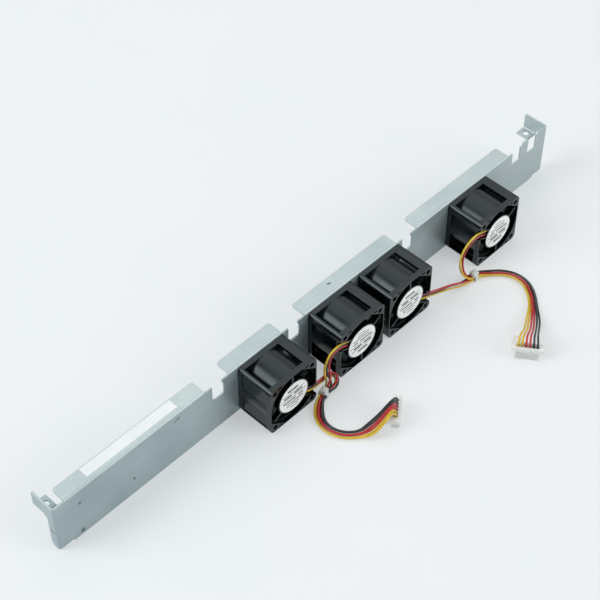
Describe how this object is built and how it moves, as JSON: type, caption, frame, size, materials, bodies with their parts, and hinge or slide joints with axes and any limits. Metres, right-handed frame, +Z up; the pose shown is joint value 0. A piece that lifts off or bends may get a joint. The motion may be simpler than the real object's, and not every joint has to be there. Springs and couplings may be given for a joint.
{
  "type": "storage fan module",
  "caption": "A long folded sheet bracket with hooked top edge and screw tabs that carries small axial fans, whose leads run in two bundles to flat plugs.",
  "frame": {"origin": "on the floor under the middle of the module's bounding box, cords left out", "axes": "+X along the bracket to its latch end, -Y the way the air is blown, +Z up"},
  "size_m": [0.443, 0.1295, 0.0432],
  "materials": {
    "galvanised_steel": "zinc-coated sheet, fine grain",
    "label_paper": "blank white label",
    "black_plastic": "moulded, soft sheen",
    "impeller_plastic": "moulded, soft sheen",
    "rotor_steel": "drawn steel",
    "magnet_rubber": "bonded magnet",
    "shaft_steel": "ground steel",
    "bearing_bronze": "sintered bronze",
    "copper_winding": "enamelled copper on a laminated core",
    "board_laminate": "green circuit board",
    "screw_steel": "zinc-plated screw",
    "lead_red": "soft insulation",
    "lead_yellow": "soft insulation",
    "lead_black": "soft insulation",
    "connector_plastic": "translucent white moulding",
    "contact_metal": "tinned brass",
    "tie_nylon": "natural nylon"
  },
  "bodies": {
    "root": {"bracket": "galvanised_steel", "bracket_label_left": "label_paper", "bracket_label_right": "label_paper", "fan_a_housing": "black_plastic", "fan_a_bearings": "bearing_bronze", "fan_a_stator": "copper_winding", "fan_a_circuit_board": "board_laminate", "fan_a_hub_label": "label_paper", "fan_b_housing": "black_plastic", "fan_b_bearings": "bearing_bronze", "fan_b_stator": "copper_winding", "fan_b_circuit_board": "board_laminate", "fan_b_hub_label": "label_paper", "fan_c_housing": "black_plastic", "fan_c_bearings": "bearing_bronze", "fan_c_stator": "copper_winding", "fan_c_circuit_board": "board_laminate", "fan_c_hub_label": "label_paper", "fan_d_housing": "black_plastic", "fan_d_bearings": "bearing_bronze", "fan_d_stator": "copper_winding", "fan_d_circuit_board": "board_laminate", "fan_d_hub_label": "label_paper", "fan_screws": "screw_steel", "lead_a_red": "lead_red", "lead_a_yellow": "lead_yellow", "lead_a_black": "lead_black", "lead_b_red": "lead_red", "lead_b_yellow": "lead_yellow", "lead_b_black": "lead_black", "lead_c_red": "lead_red", "lead_c_yellow": "lead_yellow", "lead_c_black": "lead_black", "lead_d_red": "lead_red", "lead_d_yellow": "lead_yellow", "lead_d_black": "lead_black", "connector_left_housing": "connector_plastic", "connector_left_contacts": "contact_metal", "cable_tie_left": "tie_nylon", "connector_right_housing": "connector_plastic", "connector_right_contacts": "contact_metal", "cable_tie_right": "tie_nylon"},
    "fan_a_rotor": {"fan_a_impeller": "impeller_plastic", "fan_a_rotor_yoke": "rotor_steel", "fan_a_rotor_magnet": "magnet_rubber", "fan_a_shaft": "shaft_steel"},
    "fan_b_rotor": {"fan_b_impeller": "impeller_plastic", "fan_b_rotor_yoke": "rotor_steel", "fan_b_rotor_magnet": "magnet_rubber", "fan_b_shaft": "shaft_steel"},
    "fan_c_rotor": {"fan_c_impeller": "impeller_plastic", "fan_c_rotor_yoke": "rotor_steel", "fan_c_rotor_magnet": "magnet_rubber", "fan_c_shaft": "shaft_steel"},
    "fan_d_rotor": {"fan_d_impeller": "impeller_plastic", "fan_d_rotor_yoke": "rotor_steel", "fan_d_rotor_magnet": "magnet_rubber", "fan_d_shaft": "shaft_steel"}
  },
  "joints": [
    {"name": "fan_a_spin", "type": "hinge", "parent": "root", "child": "fan_a_rotor", "pos_m": [-0.0571, -0.0094, 0.02], "axis": [0, 1, 0], "continuous": true},
    {"name": "fan_b_spin", "type": "hinge", "parent": "root", "child": "fan_b_rotor", "pos_m": [0.0041, -0.0094, 0.02], "axis": [0, 1, 0], "continuous": true},
    {"name": "fan_c_spin", "type": "hinge", "parent": "root", "child": "fan_c_rotor", "pos_m": [0.0494, -0.0094, 0.02], "axis": [0, 1, 0], "continuous": true},
    {"name": "fan_d_spin", "type": "hinge", "parent": "root", "child": "fan_d_rotor", "pos_m": [0.1371, -0.0094, 0.02], "axis": [0, 1, 0], "continuous": true}
  ]
}
